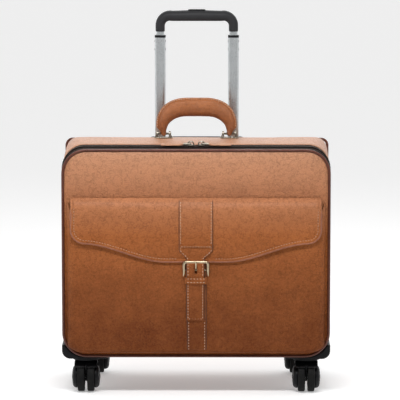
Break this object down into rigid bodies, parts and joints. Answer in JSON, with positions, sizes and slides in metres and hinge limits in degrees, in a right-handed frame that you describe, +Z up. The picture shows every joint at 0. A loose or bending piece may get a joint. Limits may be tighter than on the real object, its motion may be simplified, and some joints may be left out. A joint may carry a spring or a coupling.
{
  "type": "wheeled pilot case",
  "caption": "Upright wheeled pilot case in tan leather with a flapped front pocket, strap buckle, padded top handle and pull-up trolley handle.",
  "frame": {"origin": "on the floor under the middle of the whole object, between the outermost points front to back and side to side", "axes": "+Z up, +X to the right of someone facing the pocket, +Y from the pocket towards the back panel"},
  "size_m": [0.457, 0.239, 0.6342],
  "materials": {
    "tan_leather": "satin",
    "handle_leather": "satin",
    "piping_leather": "gloss",
    "lining_cloth": "matte",
    "zip_tape": "matte",
    "tube_alloy": "satin",
    "black_plastic": "matte",
    "wheel_rubber": "matte",
    "axle_steel": "satin",
    "antique_nickel": "satin",
    "antique_brass": "satin"
  },
  "bodies": {
    "case": {"back_panel": "tan_leather", "top_wall": "tan_leather", "side_wall_left": "tan_leather", "side_wall_right": "tan_leather", "bottom_wall": "tan_leather", "rear_piping": "piping_leather", "lining": "lining_cloth", "trolley_cover": "lining_cloth", "zip_rear": "zip_tape", "trolley_outer_tubes": "tube_alloy", "trolley_bezel": "black_plastic", "trolley_foot": "black_plastic", "handle_bracket_left": "antique_nickel", "handle_bracket_right": "antique_nickel", "handle_pins": "antique_nickel", "wheel_housing_front_left": "black_plastic", "wheel_housing_front_right": "black_plastic", "wheel_housing_rear_left": "black_plastic", "wheel_housing_rear_right": "black_plastic"},
    "front_lid": {"front_panel": "tan_leather", "front_piping": "piping_leather", "zip_front": "zip_tape", "pocket_panel": "tan_leather", "pocket_strap": "tan_leather", "snap_socket": "antique_brass"},
    "flap": {"pocket_flap": "tan_leather", "strap_patch": "tan_leather", "buckle_strap": "tan_leather", "buckle_frame": "antique_brass", "keeper_loop": "tan_leather", "snap_stud": "antique_brass"},
    "buckle_pin": {"buckle_tongue": "antique_brass"},
    "zip_slider_left": {"slider_left": "antique_nickel"},
    "zip_slider_right": {"slider_right": "antique_nickel"},
    "zip_pull_left": {"pull_ring_left": "antique_nickel", "pull_tab_left": "tan_leather"},
    "zip_pull_right": {"pull_ring_right": "antique_nickel", "pull_tab_right": "tan_leather"},
    "trolley_stage_1": {"stage_1_tubes": "tube_alloy", "stage_1_collars": "black_plastic"},
    "trolley_stage_2": {"stage_2_tubes": "tube_alloy", "trolley_grip": "black_plastic"},
    "grip_button": {"release_button": "black_plastic"},
    "top_handle": {"carry_handle": "handle_leather"},
    "caster_front_left": {"fork_front_left": "black_plastic", "axle_front_left": "axle_steel"},
    "roller_front_left_a": {"wheel_front_left_a": "wheel_rubber"},
    "roller_front_left_b": {"wheel_front_left_b": "wheel_rubber"},
    "caster_front_right": {"fork_front_right": "black_plastic", "axle_front_right": "axle_steel"},
    "roller_front_right_a": {"wheel_front_right_a": "wheel_rubber"},
    "roller_front_right_b": {"wheel_front_right_b": "wheel_rubber"},
    "caster_rear_left": {"fork_rear_left": "black_plastic", "axle_rear_left": "axle_steel"},
    "roller_rear_left_a": {"wheel_rear_left_a": "wheel_rubber"},
    "roller_rear_left_b": {"wheel_rear_left_b": "wheel_rubber"},
    "caster_rear_right": {"fork_rear_right": "black_plastic", "axle_rear_right": "axle_steel"},
    "roller_rear_right_a": {"wheel_rear_right_a": "wheel_rubber"},
    "roller_rear_right_b": {"wheel_rear_right_b": "wheel_rubber"}
  },
  "joints": [
    {"name": "lid_hinge", "type": "hinge", "parent": "case", "child": "front_lid", "pos_m": [0, -0.0948, 0.0642], "axis": [1, 0, 0], "range_deg": [0, 75]},
    {"name": "flap_hinge", "type": "hinge", "parent": "front_lid", "child": "flap", "pos_m": [0, -0.0984, 0.334], "axis": [-1, 0, 0], "range_deg": [0, 130]},
    {"name": "buckle_pin_hinge", "type": "hinge", "parent": "flap", "child": "buckle_pin", "pos_m": [0, -0.114, 0.214], "axis": [1, 0, 0], "range_deg": [0, 100]},
    {"name": "zip_left", "type": "slide", "parent": "case", "child": "zip_slider_left", "axis": [-1, 0, 0], "range_m": [0, 0.15]},
    {"name": "pull_left", "type": "hinge", "parent": "zip_slider_left", "child": "zip_pull_left", "pos_m": [-0.009, -0.0768, 0.42181], "axis": [0, 1, 0], "range_deg": [0, 120]},
    {"name": "zip_right", "type": "slide", "parent": "case", "child": "zip_slider_right", "axis": [1, 0, 0], "range_m": [0, 0.15]},
    {"name": "pull_right", "type": "hinge", "parent": "zip_slider_right", "child": "zip_pull_right", "pos_m": [0.009, -0.0768, 0.42181], "axis": [0, -1, 0], "range_deg": [0, 120]},
    {"name": "trolley_lower", "type": "slide", "parent": "case", "child": "trolley_stage_1", "axis": [0, 0, 1], "range_m": [-0.171, 0.09]},
    {"name": "trolley_upper", "type": "slide", "parent": "trolley_stage_1", "child": "trolley_stage_2", "axis": [0, 0, 1], "range_m": [-0.006, 0.25]},
    {"name": "grip_button_press", "type": "slide", "parent": "trolley_stage_2", "child": "grip_button", "axis": [0, 0, -1], "range_m": [0, 0.004], "stiffness_N_per_m": 600, "springref_m": -0.002},
    {"name": "top_handle_swing", "type": "hinge", "parent": "case", "child": "top_handle", "pos_m": [0, 0.0102, 0.42865], "axis": [1, 0, 0], "range_deg": [-66, 66]},
    {"name": "swivel_front_left", "type": "hinge", "parent": "case", "child": "caster_front_left", "pos_m": [-0.186, -0.0628, 0.053], "axis": [0, 0, 1], "continuous": true},
    {"name": "roll_front_left_a", "type": "hinge", "parent": "caster_front_left", "child": "roller_front_left_a", "pos_m": [-0.186, -0.0728, 0.025], "axis": [1, 0, 0], "continuous": true},
    {"name": "roll_front_left_b", "type": "hinge", "parent": "caster_front_left", "child": "roller_front_left_b", "pos_m": [-0.186, -0.0728, 0.025], "axis": [1, 0, 0], "continuous": true},
    {"name": "swivel_front_right", "type": "hinge", "parent": "case", "child": "caster_front_right", "pos_m": [0.186, -0.0628, 0.053], "axis": [0, 0, 1], "continuous": true},
    {"name": "roll_front_right_a", "type": "hinge", "parent": "caster_front_right", "child": "roller_front_right_a", "pos_m": [0.186, -0.0728, 0.025], "axis": [1, 0, 0], "continuous": true},
    {"name": "roll_front_right_b", "type": "hinge", "parent": "caster_front_right", "child": "roller_front_right_b", "pos_m": [0.186, -0.0728, 0.025], "axis": [1, 0, 0], "continuous": true},
    {"name": "swivel_rear_left", "type": "hinge", "parent": "case", "child": "caster_rear_left", "pos_m": [-0.176, 0.0812, 0.053], "axis": [0, 0, 1], "continuous": true},
    {"name": "roll_rear_left_a", "type": "hinge", "parent": "caster_rear_left", "child": "roller_rear_left_a", "pos_m": [-0.176, 0.0912, 0.025], "axis": [1, 0, 0], "continuous": true},
    {"name": "roll_rear_left_b", "type": "hinge", "parent": "caster_rear_left", "child": "roller_rear_left_b", "pos_m": [-0.176, 0.0912, 0.025], "axis": [1, 0, 0], "continuous": true},
    {"name": "swivel_rear_right", "type": "hinge", "parent": "case", "child": "caster_rear_right", "pos_m": [0.176, 0.0812, 0.053], "axis": [0, 0, 1], "continuous": true},
    {"name": "roll_rear_right_a", "type": "hinge", "parent": "caster_rear_right", "child": "roller_rear_right_a", "pos_m": [0.176, 0.0912, 0.025], "axis": [1, 0, 0], "continuous": true},
    {"name": "roll_rear_right_b", "type": "hinge", "parent": "caster_rear_right", "child": "roller_rear_right_b", "pos_m": [0.176, 0.0912, 0.025], "axis": [1, 0, 0], "continuous": true}
  ]
}
